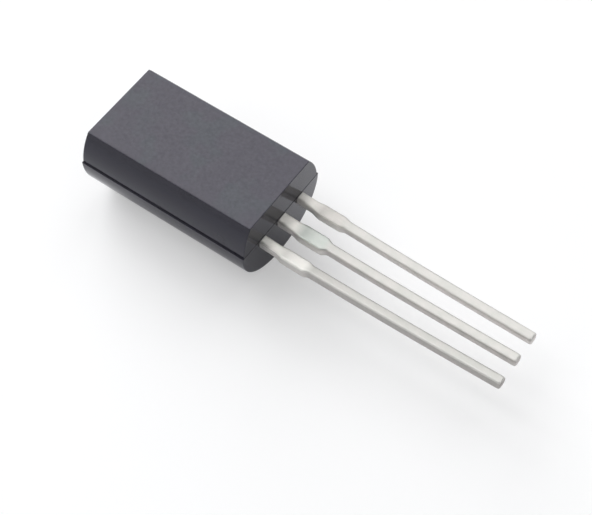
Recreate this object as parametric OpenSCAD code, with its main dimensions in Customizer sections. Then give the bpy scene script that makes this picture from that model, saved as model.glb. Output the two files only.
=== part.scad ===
// Small-signal transistor in the long version of the three-lead plastic package.
// A moulded epoxy body, flat in front and round behind, lies on its round back
// with its flat front face up. Three flat tin-plated leads leave one end wall.
// Inside, the middle lead widens into a paddle that carries the silicon die,
// and two bond wires join the die to posts at the ends of the outer leads.
//
// Millimetres. +X runs along the leads to their tips, +Z out of the flat face.
// The origin is on the supporting surface, in the middle of the footprint.

/* [Body] */
// Length of the flat front face
body_length = 8; // [7.8:0.05:8.2]
// Height of the flat face above the body's long axis
flat_height = 1.53; // [1.4:0.01:1.6]
// Radius of the front half's curved sides
front_radius = 2.48; // [2.4:0.01:2.52]
// Radius of the round back half
back_radius = 2.55; // [2.53:0.01:2.65]
// Height of the mould's parting plane above the long axis
parting_height = 0.08; // [0:0.01:0.15]
// Step between the mould halves at the two end walls
end_step = 0.02; // [0.02:0.01:0.08]
// Draft angle of the front half's end walls
front_draft = 1.4; // [0:0.1:3]
// Draft angle of the back half's end walls
back_draft = 2; // [0:0.1:3]

/* [Leads] */
// Distance between the centres of neighbouring leads
lead_pitch = 1.27; // [1.2:0.01:1.3]
// Length of each lead outside the body
lead_length = 11; // [8:0.1:14]
// Thickness of the lead frame
lead_thickness = 0.4; // [0.34:0.01:0.45]
// Width of a lead beyond its wider part
lead_width = 0.44; // [0.36:0.01:0.48]
// Depth of the leads' front face behind the parting plane, inside the body
lead_depth = 0.03; // [0.02:0.01:0.1]
// Distance from the end wall over which a lead sets back
set_length = 1; // [0.8:0.1:1.5]
// Distance that a lead sets back there
set_back = 0.06; // [0:0.01:0.15]
// Distance that a lead's tip lies behind its start
tip_drop = 0.12; // [0.1:0.01:0.3]
// Distance that each outer lead leans inwards by its tip
toe_in = 0.13; // [0:0.01:0.2]
// Width of the middle lead at the end wall
collector_root = 0.57; // [0.5:0.01:0.6]
// Width of the middle lead's wider part
collector_wide = 0.68; // [0.62:0.01:0.72]
// Width of an outer lead at the end wall
outer_root = 0.46; // [0.44:0.01:0.52]
// Width of an outer lead's wider part
outer_wide = 0.57; // [0.53:0.01:0.62]
// Where a lead starts to widen, from the end wall
widen_from = 0.75; // [0.5:0.05:0.9]
// Where the wider part is at its full width, from the end wall
wide_from = 1.2; // [1:0.05:1.4]
// Where the wider part ends, from the end wall
wide_to = 2.1; // [1.8:0.05:2.2]
// Where a lead is back at its own width, from the end wall
narrow_from = 2.45; // [2.3:0.05:2.8]

/* [Inside] */
// Length of the paddle that carries the die
paddle_length = 2.2; // [1.8:0.1:2.4]
// Width of the paddle
paddle_width = 2.5; // [1.8:0.1:2.8]
// Gap between the paddle and the posts
paddle_gap = 0.3; // [0.2:0.05:0.4]
// Length of a bond post
post_length = 1.1; // [0.8:0.1:1.4]
// Width of a bond post
post_width = 0.9; // [0.6:0.1:1]
// Length of the outer leads inside the body
post_reach = 3.6; // [3:0.1:3.8]
// Side of the square silicon die
die_side = 0.9; // [0.5:0.1:1.2]
// Thickness of the die
die_thickness = 0.25; // [0.2:0.01:0.35]
// Thickness of the solder under the die
solder_thickness = 0.03; // [0.02:0.01:0.05]
// Distance from the paddle's post edge to the die's middle
die_inset = 0.8; // [0.75:0.05:1.1]
// Diameter of the bond wires
wire_diameter = 0.08; // [0.05:0.01:0.1]
// Rise of a bond wire above its chord
wire_rise = 0.45; // [0.3:0.05:0.6]

/* [Hidden] */

// One long curved face at each radius
$fn = 96;
bond_fn = 24;

// Heights above the supporting surface
axis_z = back_radius;
flat_z = axis_z + flat_height;
parting_z = axis_z + parting_height;
lead_top_z = parting_z - lead_depth;
lead_bottom_z = lead_top_z - lead_thickness;
die_bottom_z = lead_top_z + solder_thickness;
die_top_z = die_bottom_z + die_thickness;

// Growth of each half's end walls from draft
front_growth = (flat_z - parting_z) * tan(front_draft);
back_shrink = parting_z * tan(back_draft);
back_growth = front_growth + end_step;

// Stations along X, with the whole length centred on the origin
overall_length = body_length + back_growth + lead_length;
tip_x = overall_length / 2;
wall_x = tip_x - lead_length;
top_x = wall_x - body_length;
post_x = wall_x - post_reach;
paddle_x = post_x - paddle_gap - paddle_length;
die_x = post_x - paddle_gap - die_inset;

// Bond wires: a bond disc at each end, and an arc between the discs
disc_radius = 0.11;
disc_height = 0.06;
disc_bite = 0.01;
pad_offset = 0.22;
wire_start = [die_x + pad_offset, pad_offset, die_top_z];
wire_end = [post_x + post_length / 2, lead_pitch, lead_top_z];

// Room for the tools that cut one half from the other
clearance = 1;

resin = [0.11, 0.11, 0.125];
tin = [0.80, 0.79, 0.77];
silicon = [0.32, 0.34, 0.38];
solder = [0.62, 0.62, 0.62];
gold = [0.85, 0.66, 0.25];

// A round bar of radius r along X, on the body's long axis, with its seam up
module axis_bar(r) {
    translate([wall_x + clearance, 0, axis_z])
        rotate([0, -90, 0])
            cylinder(r = r, h = body_length + 2 * clearance);
}

// A side outline, drawn in X and Z, as thick as the body is wide
module side_slab(outline) {
    rotate([90, 0, 0])
        linear_extrude(height = 2 * (back_radius + clearance), center = true)
            polygon(outline);
}

// The half in front of the parting plane: curved sides, flat face, drafted ends
module front_half() {
    intersection() {
        axis_bar(front_radius);
        side_slab([
            [top_x - front_growth, parting_z],
            [wall_x + front_growth, parting_z],
            [wall_x, flat_z],
            [top_x, flat_z]
        ]);
    }
}

// The round half behind the parting plane, a little larger all round
module back_half() {
    intersection() {
        axis_bar(back_radius);
        side_slab([
            [top_x - back_growth + back_shrink, 0],
            [wall_x + back_growth - back_shrink, 0],
            [wall_x + back_growth, parting_z],
            [top_x - back_growth, parting_z]
        ]);
    }
}

// Plan outline of a lead on the line y = 0, from its pad inside the body to its
// tip, which is shifted sideways by tip_shift
module lead_plan(pad_x, pad_length, pad_width, root, wide, tip_shift) {
    narrow_shift = tip_shift * narrow_from / lead_length;
    stations = [
        [pad_x, pad_width / 2, 0],
        [pad_x + pad_length, pad_width / 2, 0],
        [pad_x + pad_length, root / 2, 0],
        [wall_x + widen_from, root / 2, 0],
        [wall_x + wide_from, wide / 2, 0],
        [wall_x + wide_to, wide / 2, 0],
        [wall_x + narrow_from, lead_width / 2, narrow_shift],
        [tip_x, lead_width / 2, tip_shift]
    ];
    last = len(stations) - 1;
    left = [for (s = stations) [s[0], s[2] + s[1]]];
    right = [for (i = [last : -1 : 0]) [stations[i][0], stations[i][2] - stations[i][1]]];
    polygon(concat(left, right));
}

// Stamped sheet: a plan outline at the lead frame's height and thickness, level
// inside the body and set back behind that outside it
module stamped() {
    intersection() {
        linear_extrude(height = parting_z)
            children();
        side_slab([
            [paddle_x, lead_bottom_z],
            [wall_x, lead_bottom_z],
            [wall_x + set_length, lead_bottom_z - set_back],
            [tip_x, lead_bottom_z - tip_drop],
            [tip_x, lead_top_z - tip_drop],
            [wall_x + set_length, lead_top_z - set_back],
            [wall_x, lead_top_z],
            [paddle_x, lead_top_z]
        ]);
    }
}

// The outer lead on the +Y side, with its bond post inside the body
module outer_lead() {
    stamped()
        translate([0, lead_pitch])
            lead_plan(post_x, post_length, post_width, outer_root, outer_wide, -toe_in);
}

// The middle lead, with the paddle that carries the die
module middle_lead() {
    stamped()
        lead_plan(paddle_x, paddle_length, paddle_width, collector_root, collector_wide, 0);
}

// A square plate centred on the die's place
module die_plate(bottom_z, thickness) {
    translate([die_x - die_side / 2, -die_side / 2, bottom_z])
        cube([die_side, die_side, thickness]);
}

// A wire that spans chord along +X and rises by rise at its middle
module wire_arc(chord, rise) {
    bend_radius = (chord * chord / 4 + rise * rise) / (2 * rise);
    half_angle = asin(chord / 2 / bend_radius);
    translate([chord / 2, 0, rise - bend_radius])
        rotate([90, 0, 0])
            rotate([0, 0, 90 - half_angle])
                rotate_extrude(angle = 2 * half_angle)
                    translate([bend_radius, 0])
                        circle(d = wire_diameter, $fn = bond_fn);
}

// A bond disc standing on the point p
module bond_disc(p) {
    translate(p)
        cylinder(r = disc_radius, h = disc_height, $fn = bond_fn);
}

// The bond wire on the +Y side, from the die to the post
module bond_wire() {
    lift = [0, 0, disc_height - disc_bite];
    run = wire_end - wire_start;
    plan_run = norm([run[0], run[1]]);
    bond_disc(wire_start);
    bond_disc(wire_end);
    translate(wire_start + lift)
        rotate([0, -atan2(run[2], plan_run), atan2(run[1], run[0])])
            wire_arc(norm(run), wire_rise);
}

module lead_emitter() {
    color(tin) mirror([0, 1, 0]) outer_lead();
}

module lead_collector() {
    color(tin) middle_lead();
}

module lead_base() {
    color(tin) outer_lead();
}

module die_solder() {
    color(solder) die_plate(lead_top_z, solder_thickness);
}

module die() {
    color(silicon) die_plate(die_bottom_z, die_thickness);
}

module wire_emitter() {
    color(gold) mirror([0, 1, 0]) bond_wire();
}

module wire_base() {
    color(gold) bond_wire();
}

// The epoxy moulding, with the space that each piece inside it takes
module body() {
    color(resin)
        difference() {
            union() {
                front_half();
                back_half();
            }
            lead_emitter();
            lead_collector();
            lead_base();
            die_solder();
            die();
            wire_emitter();
            wire_base();
        }
}

body();
lead_emitter();
lead_collector();
lead_base();
die_solder();
die();
wire_emitter();
wire_base();
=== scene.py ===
from math import cos, pi, radians, sin

import bpy
from bpy.props import FloatProperty, FloatVectorProperty, PointerProperty
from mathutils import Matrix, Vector


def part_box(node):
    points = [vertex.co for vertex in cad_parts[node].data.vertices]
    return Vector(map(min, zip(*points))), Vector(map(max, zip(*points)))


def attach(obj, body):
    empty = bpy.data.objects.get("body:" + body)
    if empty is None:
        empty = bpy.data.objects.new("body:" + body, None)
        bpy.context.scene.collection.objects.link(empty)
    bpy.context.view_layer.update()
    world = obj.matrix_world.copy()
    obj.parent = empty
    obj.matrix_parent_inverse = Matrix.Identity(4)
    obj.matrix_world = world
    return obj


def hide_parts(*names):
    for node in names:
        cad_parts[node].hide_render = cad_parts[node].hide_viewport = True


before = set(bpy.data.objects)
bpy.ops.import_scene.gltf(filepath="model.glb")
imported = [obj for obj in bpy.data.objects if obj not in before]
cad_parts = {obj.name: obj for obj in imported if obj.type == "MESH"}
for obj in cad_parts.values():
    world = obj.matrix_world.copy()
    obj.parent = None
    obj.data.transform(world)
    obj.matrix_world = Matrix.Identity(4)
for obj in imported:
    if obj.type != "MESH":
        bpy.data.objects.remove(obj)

bl_info = {
    "name": "Small-signal transistor",
    "version": (1, 0, 0),
    "blender": (4, 5, 0),
    "location": "3D View > Sidebar > Transistor",
    "description": "Models a moulded three-lead transistor over its packed frame",
    "category": "Object",
}

MM = 0.001
# Points closer than this are one point, and rounded lengths have as many decimals
TINY = 1e-7
DECIMALS = 7
# Edges sharper than this are rounded
SHARP = radians(30)
# A face looks along an axis if that part of its unit normal is more than this
FACING = 0.9
# It looks aside from the axis if that part is less than this
ASIDE = 0.5
# Faces round each half of the moulding, and across each of its rounded edges
BAR_FACES = 180
EDGE_FACES = 3
# Faces across each crowned edge of a lead
CROWN_FACES = 6
# Steps along each slope of a lead's wider part, and along the straight rest of the lead
SLOPE_STEPS = 6
STRAIGHT_STEPS = 9
ROOT = "root"

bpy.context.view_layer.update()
body_low, body_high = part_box("body")
middle_lead_low, middle_lead_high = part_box("lead_collector")
outer_lead_low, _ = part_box("lead_base")


def distance(name, description, default):
    """A length that the user may change."""
    return FloatProperty(
        name=name,
        description=description,
        default=default,
        subtype="DISTANCE",
    )


def angle(name, description, default):
    """An angle that the user may change."""
    return FloatProperty(
        name=name,
        description=description,
        default=default,
        subtype="ANGLE",
    )


def factor(name, description, default):
    """A share from 0 to 1 that the user may change."""
    return FloatProperty(
        name=name,
        description=description,
        default=default,
        min=0,
        max=1,
        subtype="FACTOR",
    )


def strength(name, description, default):
    """A strength of light that the user may change."""
    return FloatProperty(name=name, description=description, default=default, min=0)


def colour(name, description, default):
    """A colour that the user may change."""
    return FloatVectorProperty(
        name=name,
        description=description,
        default=default,
        size=3,
        min=0,
        max=1,
        subtype="COLOR",
    )


class MouldingSizes(bpy.types.PropertyGroup):
    """Sizes of the epoxy moulding."""

    front_radius: distance(
        "Front radius",
        "Radius of the curved sides in front of the parting plane",
        2.48 * MM,
    )
    back_radius: distance("Back radius", "Radius of the round back", body_high.y)
    parting_height: distance(
        "Parting height",
        "Height of the parting plane above the surface below",
        2.63 * MM,
    )
    end_step: distance(
        "End step",
        "Width of the ledge between the halves at the end walls",
        0.01 * MM,
    )
    front_draft: angle(
        "Front draft",
        "Lean of the end walls in front of the parting plane",
        radians(1.4),
    )
    back_draft: angle(
        "Back draft",
        "Lean of the end walls behind the parting plane",
        radians(2),
    )
    edge_radius: distance("Edge radius", "Rounding of the moulding's outer edges", 0.03 * MM)
    ledge_radius: distance("Ledge radius", "Rounding of the ledge's edges", 0.004 * MM)


class LeadSizes(bpy.types.PropertyGroup):
    """Sizes of the three leads."""

    length: distance("Length", "Length of each lead outside the moulding", 11 * MM)
    pitch: distance("Pitch", "Distance between the centres of neighbouring leads", 1.27 * MM)
    toe_in: distance(
        "Toe-in",
        "Distance that each outer lead leans inwards by its tip",
        0.13 * MM,
    )
    thickness: distance("Thickness", "Thickness of the lead frame", 0.4 * MM)
    width: distance("Width", "Width of a lead beyond its wider part", 0.44 * MM)
    set_length: distance(
        "Set length",
        "Distance from the end wall over which a lead sets back",
        1 * MM,
    )
    set_back: distance("Set back", "Distance that a lead sets back there", 0.06 * MM)
    tip_drop: distance(
        "Tip drop",
        "Distance that a lead's tip lies behind its start",
        0.12 * MM,
    )
    outer_root: distance("Outer root", "Width of an outer lead at the end wall", 0.46 * MM)
    outer_wide: distance("Outer wide", "Width of an outer lead's wider part", 0.57 * MM)
    middle_root: distance("Middle root", "Width of the middle lead at the end wall", 0.57 * MM)
    middle_wide: distance("Middle wide", "Width of the middle lead's wider part", 0.68 * MM)
    widen_from: distance("Widen from", "Where a lead starts to widen", 0.75 * MM)
    wide_from: distance("Wide from", "Where the wider part has its full width", 1.2 * MM)
    wide_to: distance("Wide to", "Where the wider part ends", 2.1 * MM)
    narrow_from: distance("Narrow from", "Where a lead is back at its own width", 2.45 * MM)
    post_length: distance("Post length", "Length of an outer lead's bond post", 1.1 * MM)
    post_width: distance("Post width", "Width of an outer lead's bond post", 0.9 * MM)
    paddle_length: distance("Paddle length", "Length of the paddle under the die", 2.2 * MM)
    paddle_width: distance("Paddle width", "Width of the paddle under the die", 2.5 * MM)
    edge_reach: distance("Edge reach", "How far in the crown of a long edge starts", 0.15 * MM)
    tip_reach: distance("Tip reach", "How far in the crown of a tip starts", 0.16 * MM)
    crown: factor(
        "Crown",
        "Shape of a lead's edges, from 0.5 for round to 1 for square",
        0.68,
    )
    burr: distance(
        "Burr",
        "How far the cut edges of the wider part hang below a lead's underside",
        0.07 * MM,
    )
    bow: distance("Bow", "How far the middle of each lead bows towards -Y", 0.05 * MM)
    emitter_twist: angle(
        "Emitter twist",
        "Twist of the emitter lead past its wider part",
        radians(9),
    )
    base_twist: angle(
        "Base twist",
        "Twist of the base lead past its wider part",
        radians(-5),
    )
    wide_twist: factor(
        "Twist of the wider part",
        "Share of a lead's twist that its wider part already has",
        0.2,
    )


class Finishes(bpy.types.PropertyGroup):
    """Colours of the finishes."""

    resin_matte: colour(
        "Matte resin",
        "Colour of the epoxy on the grained front face",
        (0.0824, 0.0787, 0.0995),
    )
    resin_matte_cool: colour(
        "Cool matte resin",
        "Colour of the cooler patches on the front face",
        (0.0803, 0.0845, 0.1015),
    )
    resin_polished: colour(
        "Polished resin",
        "Colour of the epoxy on the smooth sides, end walls and back",
        (0.0105, 0.0098, 0.0185),
    )
    resin_gloss: colour(
        "Gloss of the resin",
        "Tint of what the smooth epoxy mirrors",
        (0.92, 0.92, 1),
    )
    # The tin colours along each lead are painted light and shade: lighter by the moulding,
    # where the body shades the lead, darker just past the wider part, and lighter again close
    # to the tip and on its edge.
    tin_root: colour(
        "Root tin",
        "Colour of the plating close to the moulding",
        (0.97, 0.945, 0.9),
    )
    # The three wider parts differ in brightness as painted light, for how differently the
    # light falls on each lead.
    emitter_wide: colour(
        "Emitter's wider part",
        "Colour of the plating on the emitter lead's wider part",
        (0.77, 0.755, 0.725),
    )
    collector_wide: colour(
        "Collector's wider part",
        "Colour of the plating on the collector lead's wider part",
        (0.585, 0.61, 0.58),
    )
    base_wide: colour(
        "Base's wider part",
        "Colour of the plating on the base lead's wider part",
        (0.575, 0.553, 0.53),
    )
    tin_neck: colour(
        "Neck tin",
        "Colour of the plating just past the wider part",
        (0.585, 0.57, 0.55),
    )
    tin_tip: colour("Tip tin", "Colour of the plating close to the tips", (0.71, 0.695, 0.67))
    tin_end: colour("End tin", "Colour of the plating on the tips' edges", (0.97, 0.955, 0.93))
    # The sheared sides darken towards the tip partly as the cut metal's own tone and partly as
    # painted shade on sides that face away from the light.
    sheared_wide: colour(
        "Sheared wider part",
        "Colour of the plating on the sheared sides of the wider part",
        (0.78, 0.755, 0.72),
    )
    sheared_neck: colour(
        "Sheared neck",
        "Colour of the plating on the sheared sides just past the wider part",
        (0.6, 0.572, 0.55),
    )
    sheared_tip: colour(
        "Sheared tip",
        "Colour of the plating on the sheared sides at the tips, and on the cut ends",
        (0.54, 0.512, 0.49),
    )
    # Painted light: a brightness per lead for its sheared sides, for how the light falls on
    # each lead.
    sheared_levels: FloatVectorProperty(
        name="Sheared levels",
        description="Brightness of the emitter's, collector's and base's sheared sides",
        default=(0.82, 1.07, 1.25),
        size=3,
    )
    # Painted shade: a dark band round each lead where it leaves the moulding, for the shadow
    # in the gap at the wall.
    tin_wall_shaded: colour(
        "Painted shade at the wall",
        "Colour of the plating where the moulding meets it",
        (0.08, 0.075, 0.075),
    )
    solder: colour("Solder", "Colour of the solder under the die", (0.45, 0.45, 0.46))
    silicon: colour("Silicon", "Colour of the die", (0.22, 0.24, 0.3))
    gold: colour("Gold", "Colour of the bond wires", (0.9, 0.65, 0.22))


class StageSettings(bpy.types.PropertyGroup):
    """Floor, lights and camera."""

    floor: colour("Floor", "Colour of the floor", (0.92, 0.925, 0.95))
    floor_seen: colour(
        "Floor as seen",
        "Colour of the floor as the camera sees it, before the lift",
        (0.62, 0.622, 0.63),
    )
    seen_lift: strength(
        "Lift as seen",
        "Light added to the floor as the camera sees it",
        0.38,
    )
    mirror_lift: strength(
        "Lift in mirrors",
        "Light added to the floor as mirrors and glass show it",
        0.08,
    )
    sky: strength("Sky", "Strength of the light from above", 0.05)
    horizon: strength("Horizon", "Strength of the pale band round the horizon", 0.8)
    lamp_distance: distance("Lamp distance", "Distance of each lamp from the part", 500 * MM)
    lamp_size: distance("Lamp size", "Diameter of each round lamp", 400 * MM)
    floor_size: distance("Floor size", "Length of the floor's sides", 800 * MM)


# --- Modelling tools ---


def deselect_all():
    """Leaves edit mode, with nothing selected."""
    if bpy.context.object and bpy.context.object.mode != "OBJECT":
        bpy.ops.object.mode_set(mode="OBJECT")
    bpy.ops.object.select_all(action="DESELECT")


def pick(*pieces):
    """Selects these pieces only, the last one active."""
    deselect_all()
    for piece in pieces:
        piece.select_set(True)
    bpy.context.view_layer.objects.active = pieces[-1]


def edit(kind):
    """Starts to edit the active piece, by VERT, EDGE or FACE."""
    bpy.ops.object.mode_set(mode="EDIT")
    bpy.ops.mesh.select_mode(type=kind)


def leave_edit():
    """Goes back to object mode, which also brings the mesh up to date."""
    bpy.ops.object.mode_set(mode="OBJECT")


def select_faces(piece, wanted):
    """Selects the faces whose centre and normal pass the test."""
    bpy.ops.mesh.select_mode(type="FACE")
    bpy.ops.mesh.select_all(action="DESELECT")
    leave_edit()
    for face in piece.data.polygons:
        face.select = wanted(face.center, face.normal)
    bpy.ops.object.mode_set(mode="EDIT")


def select_points(piece, wanted):
    """Selects the points that pass the test."""
    bpy.ops.mesh.select_mode(type="VERT")
    bpy.ops.mesh.select_all(action="DESELECT")
    leave_edit()
    for point in piece.data.vertices:
        point.select = wanted(point.co)
    bpy.ops.object.mode_set(mode="EDIT")


def cut(point, normal, fill=False, keep_outer=False):
    """Cuts the piece in a plane.

    What lies on the side that the normal points to goes, unless keep_outer is true.
    """
    bpy.ops.mesh.select_all(action="SELECT")
    bpy.ops.mesh.bisect(
        plane_co=point,
        plane_no=normal,
        use_fill=fill,
        clear_outer=not keep_outer,
        threshold=TINY,
    )


def round_sharp_edges(piece, radius_of, faces, profile=0.5):
    """Rounds each sharp edge by the radius that radius_of gives for its two ends.

    faces is how many lie across it, and profile is 0.5 for round and 1 for square.
    """
    edit("EDGE")
    bpy.ops.mesh.select_all(action="DESELECT")
    bpy.ops.mesh.edges_select_sharp(sharpness=SHARP)
    leave_edit()
    mesh = piece.data
    weights = mesh.attributes.new("bevel_weight_edge", "FLOAT", "EDGE")
    radii = [
        radius_of(*(mesh.vertices[index].co for index in edge.vertices)) if edge.select else 0
        for edge in mesh.edges
    ]
    largest = max(radii)
    for weight, radius in zip(weights.data, radii):
        weight.value = radius / largest
    rounding = piece.modifiers.new("Rounding", "BEVEL")
    rounding.limit_method = "WEIGHT"
    rounding.width = largest
    rounding.segments = faces
    rounding.profile = profile
    rounding.use_clamp_overlap = False
    rounding.harden_normals = True
    bpy.ops.object.modifier_apply(modifier=rounding.name)


def assign(piece, slot, wanted):
    """Gives the faces that pass the test the material in that slot."""
    select_faces(piece, wanted)
    piece.active_material_index = slot
    bpy.ops.object.material_slot_assign()


def finish_piece(piece, node, slot, *materials):
    """Gives the piece its materials, hides the packed part named node, and hangs the piece on
    the root body. slot is not used.
    """
    piece.data.materials.clear()
    for material in materials:
        piece.data.materials.append(material)
    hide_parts(node)
    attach(piece, ROOT)


# --- The moulding ---


def add_half(name, radius, height, reach, lean, side):
    """A half of the moulding: a bar with leaning end walls, open at the parting plane.

    reach is half its length at the parting plane, and side is 1 above it and -1 below.
    """
    middle_x = (body_low.x + body_high.x) / 2
    axis_z = body_high.y
    # Enough for both end walls to be cut
    uncut_length = 3 * reach
    deselect_all()
    bpy.ops.mesh.primitive_cylinder_add(
        vertices=BAR_FACES,
        radius=radius,
        depth=uncut_length,
        location=(middle_x, 0, axis_z),
        rotation=(0, pi / 2, 0),
    )
    half = bpy.context.object
    half.name = name
    half.data.name = name
    bpy.ops.object.transform_apply(location=True, rotation=True, scale=True)
    edit("EDGE")
    for end in (-1, 1):
        wall = (middle_x + end * reach, 0, height)
        cut(wall, (end * cos(lean), 0, side * sin(lean)), fill=True)
    cut((0, 0, height), (0, 0, -side))
    leave_edit()
    return half


class TRANSISTOR_OT_moulding(bpy.types.Operator):
    """Models the epoxy moulding, with its flat front, round back and parting ledge"""

    bl_idname = "transistor.moulding"
    bl_label = "Moulding"
    bl_options = {"REGISTER", "UNDO"}

    def execute(self, context):
        sizes = context.scene.transistor_moulding
        parting = sizes.parting_height
        flat = body_high.z
        back_reach = (body_high.x - body_low.x) / 2
        front_reach = back_reach - sizes.end_step
        back = add_half(
            "back_half",
            sizes.back_radius,
            parting,
            back_reach,
            sizes.back_draft,
            -1,
        )
        front = add_half(
            "moulding",
            sizes.front_radius,
            parting,
            front_reach,
            sizes.front_draft,
            1,
        )
        edit("EDGE")
        cut((0, 0, flat), (0, 0, 1), fill=True)

        pick(back, front)
        bpy.ops.object.join()
        edit("EDGE")
        bpy.ops.mesh.select_all(action="DESELECT")
        bpy.ops.mesh.select_non_manifold()
        bpy.ops.mesh.bridge_edge_loops()
        bpy.ops.mesh.select_all(action="SELECT")
        bpy.ops.mesh.remove_doubles(threshold=TINY)
        bpy.ops.mesh.normals_make_consistent(inside=False)
        leave_edit()

        def radius_of(start, end):
            """The rounding of the edge between these two points."""
            on_ledge = abs(start.z - parting) < TINY and abs(end.z - parting) < TINY
            return sizes.ledge_radius if on_ledge else sizes.edge_radius

        round_sharp_edges(front, radius_of, EDGE_FACES)
        colours = context.scene.transistor_finishes
        finish_piece(
            front,
            "body",
            "resin",
            polished_resin("resin_polished", colours, roughness=0.15),
            polished_resin("resin_satin", colours, roughness=0.24),
            matte_resin(colours),
        )
        # Places of these two resins among the moulding's materials
        satin, matte = 1, 2
        rim = flat - sizes.edge_radius
        edit("FACE")
        assign(
            front,
            satin,
            lambda centre, normal: abs(normal.x) < ASIDE and centre.z > parting + TINY,
        )
        assign(front, matte, lambda centre, normal: centre.z > rim - TINY)
        leave_edit()
        return {"FINISHED"}


# --- The leads ---


def smooth(share):
    """A share from 0 to 1, made to start and stop gently."""
    return share * share * (3 - 2 * share)


def between(start, end, steps):
    """The stations after start, up to end. Each is a distance, a width and a burr."""
    stations = []
    for step in range(1, steps + 1):
        share = step / steps
        shares = (share, smooth(share), smooth(share))
        stations.append([a + (b - a) * part for a, b, part in zip(start, end, shares)])
    return stations


def lead_stations(root, wide, sizes):
    """Distances from the wall, and the width and burr there, from the wall to the tip."""
    widening = (sizes.widen_from, root, 0)
    widest = (sizes.wide_from, wide, sizes.burr)
    narrowing = (sizes.wide_to, wide, sizes.burr)
    narrow = (sizes.narrow_from, sizes.width, 0)
    tip = (sizes.length, sizes.width, 0)
    return [
        (0, root, 0),
        widening,
        *between(widening, widest, SLOPE_STEPS),
        narrowing,
        *between(narrowing, narrow, SLOPE_STEPS),
        *between(narrow, tip, STRAIGHT_STEPS),
    ]


def drop_at(place, sizes):
    """How far a lead lies behind its start, at that distance from the wall."""
    if place < sizes.set_length:
        return sizes.set_back * max(0, place) / sizes.set_length
    share = (place - sizes.set_length) / (sizes.length - sizes.set_length)
    return sizes.set_back + (sizes.tip_drop - sizes.set_back) * share


def lean_at(place, sizes):
    """How far an outer lead leans inwards, at that distance from the wall."""
    return sizes.toe_in * max(0, place - sizes.wide_to) / (sizes.length - sizes.wide_to)


def twist_at(place, sizes):
    """The share of its twist that a lead has, at that distance from the wall."""
    if place < sizes.wide_to:
        share = (place - sizes.widen_from) / (sizes.wide_from - sizes.widen_from)
        return sizes.wide_twist * smooth(min(1, max(0, share)))
    share = (place - sizes.wide_to) / (sizes.narrow_from - sizes.wide_to)
    return sizes.wide_twist + (1 - sizes.wide_twist) * smooth(min(1, share))


def add_lead(name, pad_start, pad_length, pad_width, middle_y, root, wide, sizes):
    """A stamped lead, from its pad inside the moulding to its tip.

    middle_y is the place of its centre line, and root and wide are its widths at the wall
    and at its wider part.
    """
    top = middle_lead_high.z
    bottom = top - sizes.thickness
    deselect_all()
    bpy.ops.mesh.primitive_cube_add(
        size=1,
        location=(pad_start + pad_length / 2, middle_y, (bottom + top) / 2),
        scale=(pad_length, pad_width, top - bottom),
    )
    lead = bpy.context.object
    lead.name = name
    lead.data.name = name
    bpy.ops.object.transform_apply(location=True, rotation=True, scale=True)
    edit("FACE")
    for side in (-1, 1):
        cut((0, middle_y + side * root / 2, 0), (0, side, 0), keep_outer=True)

    select_faces(
        lead,
        lambda centre, normal: normal.x > FACING and abs(centre.y - middle_y) < root / 2,
    )
    wall_x = middle_lead_high.x - sizes.length
    x, y, drop, width, deep = pad_start + pad_length, middle_y, 0, root, sizes.thickness
    for place, next_width, burr in lead_stations(root, wide, sizes):
        next_x = wall_x + place
        next_y = middle_y if middle_y == 0 else middle_y - lean_at(place, sizes)
        next_drop = drop_at(place, sizes)
        bpy.ops.mesh.extrude_region_move(
            TRANSFORM_OT_translate={"value": (next_x - x, next_y - y, drop - next_drop)}
        )
        next_deep = sizes.thickness + burr
        bpy.ops.transform.resize(
            value=(1, next_width / width, next_deep / deep),
            center_override=(next_x, next_y, top - next_drop),
        )
        x, y, drop, width, deep = next_x, next_y, next_drop, next_width, next_deep
    leave_edit()
    return lead


def round_lead(lead, sizes):
    """Crowns the lead's long edges and its tip."""
    tip_x = middle_lead_high.x

    def reach_of(start, end):
        """How far in the crown of the edge between these two points starts."""
        on_tip = min(start.x, end.x) > tip_x - TINY
        return sizes.tip_reach if on_tip else sizes.edge_reach

    pick(lead)
    round_sharp_edges(lead, reach_of, CROWN_FACES, sizes.crown)


def bow_and_twist(lead, side, twist, sizes):
    """Bows a lead towards -Y and twists it, ring by ring towards its tip.

    side is -1 for the emitter, 0 for the collector and 1 for the base.
    """
    wall_x = middle_lead_high.x - sizes.length
    start_z = middle_lead_high.z - sizes.thickness / 2
    pick(lead)
    places = (point.co.x for point in lead.data.vertices)
    rings = sorted({round(place, DECIMALS) for place in places if place > wall_x})
    edit("VERT")
    bowed, turned = 0, 0
    for ring in rings:
        place = ring - wall_x
        bow = -sizes.bow * sin(pi * place / sizes.length)
        turn = twist * twist_at(place, sizes)
        middle_y = side * (sizes.pitch - lean_at(place, sizes)) + bow
        select_points(lead, lambda co, ring=ring: co.x > ring - 0.5 * TINY)
        bpy.ops.transform.translate(value=(0, bow - bowed, 0))
        bpy.ops.transform.rotate(
            value=turn - turned,
            orient_axis="X",
            center_override=(ring, middle_y, start_z - drop_at(place, sizes)),
        )
        bowed, turned = bow, turn
    leave_edit()


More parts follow.
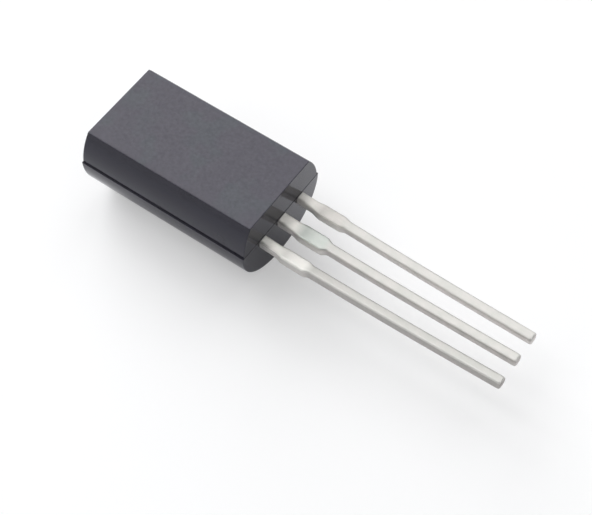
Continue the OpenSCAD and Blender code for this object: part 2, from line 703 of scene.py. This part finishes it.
class TRANSISTOR_OT_leads(bpy.types.Operator):
    """Models the three stamped leads, each with its pad inside the moulding"""

    bl_idname = "transistor.leads"
    bl_label = "Leads"
    bl_options = {"REGISTER", "UNDO"}

    def execute(self, context):
        sizes = context.scene.transistor_leads
        colours = context.scene.transistor_finishes
        base = add_lead(
            "base_lead",
            outer_lead_low.x,
            sizes.post_length,
            sizes.post_width,
            sizes.pitch,
            sizes.outer_root,
            sizes.outer_wide,
            sizes,
        )
        collector = add_lead(
            "collector_lead",
            middle_lead_low.x,
            sizes.paddle_length,
            sizes.paddle_width,
            0,
            sizes.middle_root,
            sizes.middle_wide,
            sizes,
        )
        pick(base)
        bpy.ops.object.duplicate()
        emitter = context.object
        emitter.name = "emitter_lead"
        emitter.data.name = "emitter_lead"
        edit("FACE")
        bpy.ops.mesh.select_all(action="SELECT")
        bpy.ops.transform.resize(value=(1, -1, 1), center_override=(0, 0, 0))
        bpy.ops.mesh.normals_make_consistent(inside=False)
        leave_edit()
        sheared_tins = (
            colours.sheared_wide,
            colours.sheared_wide,
            colours.sheared_neck,
            colours.sheared_tip,
            colours.sheared_tip,
        )
        # Each lead gets its own copies of the tin, with its wider part and sheared sides at
        # levels of painted light for how the light falls on that lead.
        for lead, node, side, twist, wide, level in (
            (
                emitter,
                "lead_emitter",
                -1,
                sizes.emitter_twist,
                colours.emitter_wide,
                colours.sheared_levels[0],
            ),
            (
                collector,
                "lead_collector",
                0,
                0,
                colours.collector_wide,
                colours.sheared_levels[1],
            ),
            (
                base,
                "lead_base",
                1,
                sizes.base_twist,
                colours.base_wide,
                colours.sheared_levels[2],
            ),
        ):
            bow_and_twist(lead, side, twist, sizes)
            round_lead(lead, sizes)
            rolled = tin_finish(
                "rolled_tin_on_" + node,
                (colours.tin_root, wide, colours.tin_neck, colours.tin_tip, colours.tin_end),
                ROLLED_ROUGHNESS,
                ROLLED_STRETCH,
                sizes,
                colours,
            )
            sheared = tin_finish(
                "sheared_tin_on_" + node,
                [scaled(tin, level) for tin in sheared_tins],
                SHEARED_ROUGHNESS,
                SHEARED_STRETCH,
                sizes,
                colours,
            )
            finish_piece(lead, node, "tin_plate", rolled, sheared)
            # Place of the sheared tin among the lead's materials
            sheared_slot = 1
            edit("FACE")
            assign(lead, sheared_slot, lambda centre, normal: abs(normal.z) < ASIDE)
            leave_edit()
        return {"FINISHED"}


# --- Finishes ---

WHITE = (1, 1, 1)
# Places of a colour mix's two colours and of its result among its sockets
MIX_FIRST, MIX_SECOND, MIX_RESULT = 6, 7, 2
# The tin's grain is drawn out along a rolled face, and across the sheet on a sheared side
ROLLED_STRETCH = (0.12, 1, 1)
ROLLED_ROUGHNESS = 0.52
SHEARED_STRETCH = (1, 1, 0.2)
SHEARED_ROUGHNESS = 0.55
# Level of a finish's darker marks
MARKED = 0.8
# Shares of its own roughness between which a finish varies
SMOOTHER, ROUGHER = 0.85, 1.15


def grey(level):
    """A grey of that level."""
    return (level,) * 3


def scaled(shade, level):
    """A colour at that level of its own brightness."""
    return [level * part for part in shade]


def add_node(tree, kind, **settings):
    """Adds a node with these settings.

    A setting that is no attribute of the node sets its socket of that name, with spaces
    for underscores.
    """
    node = tree.nodes.new(kind)
    for name, value in settings.items():
        if hasattr(node, name):
            setattr(node, name, value)
        else:
            node.inputs[name.replace("_", " ")].default_value = value
    return node


def new_material(name):
    """A material with its Principled shader, ready for the rest of its nodes."""
    material = bpy.data.materials.new(name)
    material.use_nodes = True
    tree = material.node_tree
    tree.nodes.clear()
    output = add_node(tree, "ShaderNodeOutputMaterial")
    shader = add_node(tree, "ShaderNodeBsdfPrincipled")
    tree.links.new(shader.outputs["BSDF"], output.inputs["Surface"])
    return material, tree, shader


def new_group(name, inputs, outputs):
    """A node group with these sockets, and its input and output nodes."""
    group = bpy.data.node_groups.new(name, "ShaderNodeTree")
    for socket, kind in inputs.items():
        group.interface.new_socket(name=socket, in_out="INPUT", socket_type=kind)
    for socket in outputs:
        group.interface.new_socket(name=socket, in_out="OUTPUT", socket_type="NodeSocketFloat")
    return group, add_node(group, "NodeGroupInput"), add_node(group, "NodeGroupOutput")


def grain_group():
    """Fine grain and broad mottling, each from 0 to 1, of the sizes that go in."""
    name = "grain_and_mottle"
    if name in bpy.data.node_groups:
        return bpy.data.node_groups[name]
    group, given, result = new_group(
        name,
        {
            "Grain Scale": "NodeSocketFloat",
            "Mottle Scale": "NodeSocketFloat",
            "Stretch": "NodeSocketVector",
        },
        ("Grain", "Mottle"),
    )
    place = add_node(group, "ShaderNodeTexCoord")
    stretch = add_node(group, "ShaderNodeVectorMath", operation="MULTIPLY")
    grain = add_node(group, "ShaderNodeTexNoise", Detail=3, Roughness=0.6)
    mottle = add_node(group, "ShaderNodeTexNoise", Detail=2, Roughness=0.55)
    grain_spread = add_node(group, "ShaderNodeMapRange", From_Min=0.3, From_Max=0.7)
    mottle_spread = add_node(group, "ShaderNodeMapRange", From_Min=0.35, From_Max=0.65)
    link = group.links.new
    link(place.outputs["Object"], stretch.inputs[0])
    link(given.outputs["Stretch"], stretch.inputs[1])
    link(stretch.outputs[0], grain.inputs["Vector"])
    link(place.outputs["Object"], mottle.inputs["Vector"])
    link(given.outputs["Grain Scale"], grain.inputs["Scale"])
    link(given.outputs["Mottle Scale"], mottle.inputs["Scale"])
    link(grain.outputs["Fac"], grain_spread.inputs["Value"])
    link(mottle.outputs["Fac"], mottle_spread.inputs["Value"])
    link(grain_spread.outputs["Result"], result.inputs["Grain"])
    link(mottle_spread.outputs["Result"], result.inputs["Mottle"])
    return group


def add_grain(tree, grain_size, mottle_size, stretch=(1, 1, 1)):
    """The grain and mottle of a finish, with the grain drawn out where stretch is small."""
    grain = add_node(tree, "ShaderNodeGroup", node_tree=grain_group())
    grain.inputs["Grain Scale"].default_value = 1 / grain_size
    grain.inputs["Mottle Scale"].default_value = 1 / mottle_size
    grain.inputs["Stretch"].default_value = stretch
    return grain


def add_mix(tree, share, first, second):
    """A colour between first and second, each of them a colour or an output."""
    mix = add_node(tree, "ShaderNodeMix", data_type="RGBA")
    tree.links.new(share, mix.inputs["Factor"])
    for place, value in ((MIX_FIRST, first), (MIX_SECOND, second)):
        socket = mix.inputs[place]
        if isinstance(value, bpy.types.NodeSocket):
            tree.links.new(value, socket)
        else:
            socket.default_value = (*value, 1)
    return mix.outputs[MIX_RESULT]


def add_product(tree, first, second):
    """The product of two colour outputs."""
    product = add_node(tree, "ShaderNodeMix", data_type="RGBA", blend_type="MULTIPLY")
    product.inputs["Factor"].default_value = 1
    tree.links.new(first, product.inputs[MIX_FIRST])
    tree.links.new(second, product.inputs[MIX_SECOND])
    return product.outputs[MIX_RESULT]


def add_range(tree, value, from_min=0, from_max=1, to_min=0, to_max=1):
    """A value that runs from to_min to to_max as the given one runs between the others."""
    span = add_node(
        tree,
        "ShaderNodeMapRange",
        From_Min=from_min,
        From_Max=from_max,
        To_Min=to_min,
        To_Max=to_max,
    )
    tree.links.new(value, span.inputs["Value"])
    return span.outputs["Result"]


def add_ramp(tree, value, stops):
    """A colour that changes along value. Each stop is a place from 0 to 1 and a colour."""
    ramp = add_node(tree, "ShaderNodeValToRGB")
    elements = ramp.color_ramp.elements
    elements.remove(elements[1])
    for index, (place, shade) in enumerate(stops):
        element = elements[0] if index == 0 else elements.new(place)
        element.position = place
        element.color = (*shade, 1)
    tree.links.new(value, ramp.inputs["Fac"])
    return ramp.outputs["Color"]


def add_roughness(tree, shader, value, smoothest, roughest):
    """Varies the shader's roughness with that value."""
    rough = add_range(tree, value, to_min=smoothest, to_max=roughest)
    tree.links.new(rough, shader.inputs["Roughness"])


def add_bump(tree, shader, height, depth):
    """Gives the shader bumps of that depth."""
    bump = add_node(tree, "ShaderNodeBump", Distance=depth)
    tree.links.new(height, bump.inputs["Height"])
    tree.links.new(bump.outputs["Normal"], shader.inputs["Normal"])


def add_edge_wear(tree):
    """From 0 in the middle of the flat face to 1 at its edges."""
    # The wear starts this far in from each end wall
    end_wear = 0.9 * MM
    # Distances from the centre line where it starts, and where the long edges are
    side_from, side_to = 1.4 * MM, 1.95 * MM
    place = add_node(tree, "ShaderNodeTexCoord")
    centred = add_node(tree, "ShaderNodeVectorMath", operation="SUBTRACT")
    centred.inputs[1].default_value = ((body_low.x + body_high.x) / 2, 0, 0)
    mirrored = add_node(tree, "ShaderNodeVectorMath", operation="ABSOLUTE")
    parts = add_node(tree, "ShaderNodeSeparateXYZ")
    tree.links.new(place.outputs["Object"], centred.inputs[0])
    tree.links.new(centred.outputs[0], mirrored.inputs[0])
    tree.links.new(mirrored.outputs[0], parts.inputs[0])
    half_length = (body_high.x - body_low.x) / 2
    along = add_range(tree, parts.outputs["X"], half_length - end_wear, half_length)
    across = add_range(tree, parts.outputs["Y"], side_from, side_to)
    wear = add_node(tree, "ShaderNodeMath", operation="MAXIMUM")
    tree.links.new(along, wear.inputs[0])
    tree.links.new(across, wear.inputs[1])
    return wear.outputs[0]


def matte_resin(colours):
    """Spark-eroded epoxy: an even grain, cooler patches, and edges scuffed lighter."""
    # The mottle at which a patch begins to cool, and at which it is coolest
    cool_from, cool_to = 0.6, 0.95
    # Levels of the grain's pits and peaks, on the even face and where it is scuffed
    pit, peak = grey(0.87), grey(1.13)
    scuffed_pit, scuffed_peak = grey(0.78), grey(1.3)
    material, tree, shader = new_material("resin_matte")
    fine = add_grain(tree, grain_size=0.15 * MM, mottle_size=1.5 * MM)
    scuff = add_grain(tree, grain_size=0.22 * MM, mottle_size=0.7 * MM)
    cool = add_range(tree, fine.outputs["Mottle"], cool_from, cool_to)
    shade = add_mix(tree, cool, colours.resin_matte, colours.resin_matte_cool)
    even = add_mix(tree, fine.outputs["Grain"], pit, peak)
    scuffed = add_mix(tree, scuff.outputs["Grain"], scuffed_pit, scuffed_peak)
    wear = add_node(tree, "ShaderNodeMath", operation="MULTIPLY")
    tree.links.new(add_edge_wear(tree), wear.inputs[0])
    tree.links.new(scuff.outputs["Mottle"], wear.inputs[1])
    grained = add_product(tree, shade, add_mix(tree, wear.outputs[0], even, scuffed))
    tree.links.new(grained, shader.inputs["Base Color"])
    add_roughness(tree, shader, scuff.outputs["Grain"], smoothest=0.6, roughest=0.74)
    add_bump(tree, shader, fine.outputs["Grain"], depth=0.004 * MM)
    return material


def polished_resin(name, colours, roughness):
    """Epoxy off a polished mould wall, with faint flow marks."""
    material, tree, shader = new_material(name)
    grain = add_grain(tree, grain_size=0.12 * MM, mottle_size=0.9 * MM)
    mottle = grain.outputs["Mottle"]
    resin = colours.resin_polished
    shade = add_mix(tree, mottle, resin, scaled(resin, MARKED))
    tree.links.new(shade, shader.inputs["Base Color"])
    add_roughness(tree, shader, mottle, SMOOTHER * roughness, ROUGHER * roughness)
    add_bump(tree, shader, grain.outputs["Grain"], depth=0.0004 * MM)
    shader.inputs["Specular Tint"].default_value = (*colours.resin_gloss, 1)
    return material


def tin_finish(name, tins, roughness, stretch, sizes, colours):
    """Matte tin over copper.

    tins are its colours by the moulding, on the wider part, just past that, close to the
    tip and on its edge, which paint light and shade along the lead. A dark band of painted
    shade runs round the lead where it leaves the moulding, for the shadow at the wall.
    """
    root, wide, neck, tip, end = tins
    # Distances from the wall between which the painted shade at the wall fades
    wall_shade_from, wall_shade_to = 0.04 * MM, 0.09 * MM
    # Tint of the duller patches
    dull_patches = (0.93, 0.95, 0.94)
    # Shares of its own roughness between which the tin varies
    smoother, rougher = 0.9, 1.1
    material, tree, shader = new_material(name)
    grain = add_grain(tree, grain_size=0.06 * MM, mottle_size=0.5 * MM, stretch=stretch)
    place = add_node(tree, "ShaderNodeTexCoord")
    parts = add_node(tree, "ShaderNodeSeparateXYZ")
    tree.links.new(place.outputs["Object"], parts.inputs[0])
    along = parts.outputs["X"]
    tip_x = middle_lead_high.x
    wall_x = tip_x - sizes.length
    # Painted light and shade along the lead, from the tins
    painted_light_tin = add_ramp(
        tree,
        add_range(tree, along, wall_x, tip_x),
        (
            (sizes.widen_from / sizes.length, root),
            (sizes.wide_from / sizes.length, wide),
            (sizes.wide_to / sizes.length, wide),
            (sizes.narrow_from / sizes.length, neck),
            (1 - sizes.tip_reach / sizes.length, tip),
            (1, end),
        ),
    )
    # A dark band of painted shade at the wall, for the shadow where the lead leaves the
    # moulding
    wall_shade = add_range(tree, along, wall_x + wall_shade_from, wall_x + wall_shade_to, 1, 0)
    dulled = add_mix(tree, grain.outputs["Mottle"], WHITE, dull_patches)
    patchy = add_product(tree, painted_light_tin, dulled)
    wall_shaded = add_mix(tree, wall_shade, patchy, colours.tin_wall_shaded)
    tree.links.new(wall_shaded, shader.inputs["Base Color"])
    fine = grain.outputs["Grain"]
    add_roughness(tree, shader, fine, smoother * roughness, rougher * roughness)
    add_bump(tree, shader, fine, depth=0.0012 * MM)
    shader.inputs["Metallic"].default_value = 1
    return material


def plain_metal(name, bright, roughness, grain_size, depth):
    """A metal with a grain of that size, for the pieces inside the moulding."""
    material, tree, shader = new_material(name)
    grain = add_grain(tree, grain_size, mottle_size=4 * grain_size)
    shade = add_mix(tree, grain.outputs["Mottle"], bright, scaled(bright, MARKED))
    tree.links.new(shade, shader.inputs["Base Color"])
    fine = grain.outputs["Grain"]
    add_roughness(tree, shader, fine, SMOOTHER * roughness, ROUGHER * roughness)
    add_bump(tree, shader, fine, depth)
    shader.inputs["Metallic"].default_value = 1
    return material


class TRANSISTOR_OT_inside(bpy.types.Operator):
    """Gives the die, its solder and the bond wires their finishes"""

    bl_idname = "transistor.inside"
    bl_label = "Die and bond wires"
    bl_options = {"REGISTER", "UNDO"}

    def execute(self, context):
        colours = context.scene.transistor_finishes
        solder = plain_metal(
            "solder",
            colours.solder,
            roughness=0.5,
            grain_size=0.03 * MM,
            depth=0.002 * MM,
        )
        silicon = plain_metal(
            "silicon",
            colours.silicon,
            roughness=0.15,
            grain_size=0.02 * MM,
            depth=0.0002 * MM,
        )
        gold = plain_metal(
            "gold",
            colours.gold,
            roughness=0.25,
            grain_size=0.02 * MM,
            depth=0.0005 * MM,
        )
        for node, material in (
            ("die_solder", solder),
            ("die", silicon),
            ("wire_emitter", gold),
            ("wire_base", gold),
        ):
            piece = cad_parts[node]
            piece.data.materials.clear()
            piece.data.materials.append(material)
        return {"FINISHED"}


# --- The stage ---

# Each lamp's name, azimuth, elevation and radiance
LAMPS = (
    ("left_lamp", radians(150), radians(25), 4.4),
    ("top_lamp", radians(180), radians(55), 2.6),
    ("far_lamp", radians(90), radians(55), 1.46),
    ("near_lamp", radians(-135), radians(55), 1.24),
    ("low_lamp", radians(-120), radians(25), 0.38),
    ("right_lamp", radians(0), radians(40), 0.5),
)
# The point that the camera looks at, and where it stands from there. Its azimuth is
# turned from -Y towards +X.
CAMERA_TARGET = Vector((-0.687, -0.036, 0.267)) * MM
CAMERA_AZIMUTH = radians(35.283)
CAMERA_ELEVATION = radians(57.81)
CAMERA_DISTANCE = 61.741 * MM
# Width of its sensor and its focal length, in millimetres
SENSOR_WIDTH = 36
FOCAL_LENGTH = 92.2
# Distances between which it sees, in metres
CLIP_START = 0.001
CLIP_END = 5
# Elevations at which the pale band round the horizon starts to fade, and is gone
BAND_TOP = radians(10)
BAND_END = radians(18)


def add_lamp(name, azimuth, elevation, radiance, settings):
    """A round lamp aimed at the part. Azimuth 0 is +X, and 90 degrees +Y."""
    towards = Vector(
        (
            cos(elevation) * cos(azimuth),
            cos(elevation) * sin(azimuth),
            sin(elevation),
        )
    )
    deselect_all()
    bpy.ops.object.light_add(
        type="AREA",
        location=towards * settings.lamp_distance,
        rotation=towards.to_track_quat("Z", "Y").to_euler(),
    )
    lamp = bpy.context.object
    lamp.name = name
    lamp.data.shape = "DISK"
    lamp.data.size = settings.lamp_size
    area = pi * (settings.lamp_size / 2) ** 2
    lamp.data.energy = radiance * pi * area


def add_floor(settings):
    """A pale floor, lifted to white for the camera and for what mirrors it."""
    deselect_all()
    bpy.ops.mesh.primitive_plane_add(size=settings.floor_size, location=(0, 0, 0))
    floor = bpy.context.object
    floor.name = "floor"
    material, tree, shader = new_material("pale_floor")
    shader.inputs["Roughness"].default_value = 1
    shader.inputs["Specular IOR Level"].default_value = 0
    shader.inputs["Emission Color"].default_value = (1, 1, 1, 1)
    rays = add_node(tree, "ShaderNodeLightPath")
    mirrors = add_node(tree, "ShaderNodeMath", operation="MAXIMUM")
    seen_light = add_node(tree, "ShaderNodeMath", operation="MULTIPLY")
    mirror_light = add_node(tree, "ShaderNodeMath", operation="MULTIPLY")
    light = add_node(tree, "ShaderNodeMath", operation="ADD")
    seen_light.inputs[1].default_value = settings.seen_lift
    mirror_light.inputs[1].default_value = settings.mirror_lift
    seen = rays.outputs["Is Camera Ray"]
    link = tree.links.new
    link(rays.outputs["Is Glossy Ray"], mirrors.inputs[0])
    link(rays.outputs["Is Transmission Ray"], mirrors.inputs[1])
    link(seen, seen_light.inputs[0])
    link(mirrors.outputs[0], mirror_light.inputs[0])
    link(seen_light.outputs[0], light.inputs[0])
    link(mirror_light.outputs[0], light.inputs[1])
    link(light.outputs[0], shader.inputs["Emission Strength"])
    link(add_mix(tree, seen, settings.floor, settings.floor_seen), shader.inputs["Base Color"])
    floor.data.materials.append(material)


def add_world(settings):
    """A soft sky, with a pale band round the horizon."""
    world = bpy.data.worlds.new("surround")
    bpy.context.scene.world = world
    world.use_nodes = True
    tree = world.node_tree
    place = add_node(tree, "ShaderNodeTexCoord")
    parts = add_node(tree, "ShaderNodeSeparateXYZ")
    tree.links.new(place.outputs["Generated"], parts.inputs[0])
    light = add_range(
        tree,
        parts.outputs["Z"],
        sin(BAND_TOP),
        sin(BAND_END),
        settings.horizon,
        settings.sky,
    )
    background = tree.nodes["Background"]
    background.inputs["Color"].default_value = (1, 1, 1, 1)
    tree.links.new(light, background.inputs["Strength"])


def add_camera():
    """The camera, aimed at its target."""
    back = Vector(
        (
            sin(CAMERA_AZIMUTH) * cos(CAMERA_ELEVATION),
            -cos(CAMERA_AZIMUTH) * cos(CAMERA_ELEVATION),
            sin(CAMERA_ELEVATION),
        )
    )
    deselect_all()
    bpy.ops.object.camera_add(
        location=CAMERA_TARGET + back * CAMERA_DISTANCE,
        rotation=back.to_track_quat("Z", "Y").to_euler(),
    )
    camera = bpy.context.object
    camera.data.sensor_width = SENSOR_WIDTH
    camera.data.sensor_fit = "HORIZONTAL"
    camera.data.lens = FOCAL_LENGTH
    camera.data.clip_start = CLIP_START
    camera.data.clip_end = CLIP_END
    bpy.context.scene.camera = camera


class TRANSISTOR_OT_stage(bpy.types.Operator):
    """Sets out the floor, the lights and the camera"""

    bl_idname = "transistor.stage"
    bl_label = "Stage"
    bl_options = {"REGISTER", "UNDO"}

    def execute(self, context):
        settings = context.scene.transistor_stage
        context.scene.view_settings.view_transform = "Standard"
        add_floor(settings)
        add_world(settings)
        for name, azimuth, elevation, radiance in LAMPS:
            add_lamp(name, azimuth, elevation, radiance, settings)
        add_camera()
        return {"FINISHED"}


class TRANSISTOR_PT_panel(bpy.types.Panel):
    """Lists the transistor's pieces and its stage."""

    bl_idname = "TRANSISTOR_PT_panel"
    bl_label = "Transistor"
    bl_space_type = "VIEW_3D"
    bl_region_type = "UI"
    bl_category = "Transistor"

    def draw(self, context):
        for operator in OPERATORS:
            self.layout.operator(operator.bl_idname)


SETTINGS = {
    "transistor_moulding": MouldingSizes,
    "transistor_leads": LeadSizes,
    "transistor_finishes": Finishes,
    "transistor_stage": StageSettings,
}
OPERATORS = (
    TRANSISTOR_OT_moulding,
    TRANSISTOR_OT_leads,
    TRANSISTOR_OT_inside,
    TRANSISTOR_OT_stage,
)


def register():
    """Adds the settings, the operators and the panel."""
    for name, group in SETTINGS.items():
        bpy.utils.register_class(group)
        setattr(bpy.types.Scene, name, PointerProperty(type=group))
    for operator in OPERATORS:
        bpy.utils.register_class(operator)
    bpy.utils.register_class(TRANSISTOR_PT_panel)


def unregister():
    """Takes away what register added, in the opposite order."""
    bpy.utils.unregister_class(TRANSISTOR_PT_panel)
    for operator in reversed(OPERATORS):
        bpy.utils.unregister_class(operator)
    for name, group in reversed(SETTINGS.items()):
        delattr(bpy.types.Scene, name)
        bpy.utils.unregister_class(group)


def main():
    """Models the part and its stage."""
    register()
    bpy.ops.transistor.moulding()
    bpy.ops.transistor.leads()
    bpy.ops.transistor.inside()
    bpy.ops.transistor.stage()


if __name__ == "__main__":
    main()
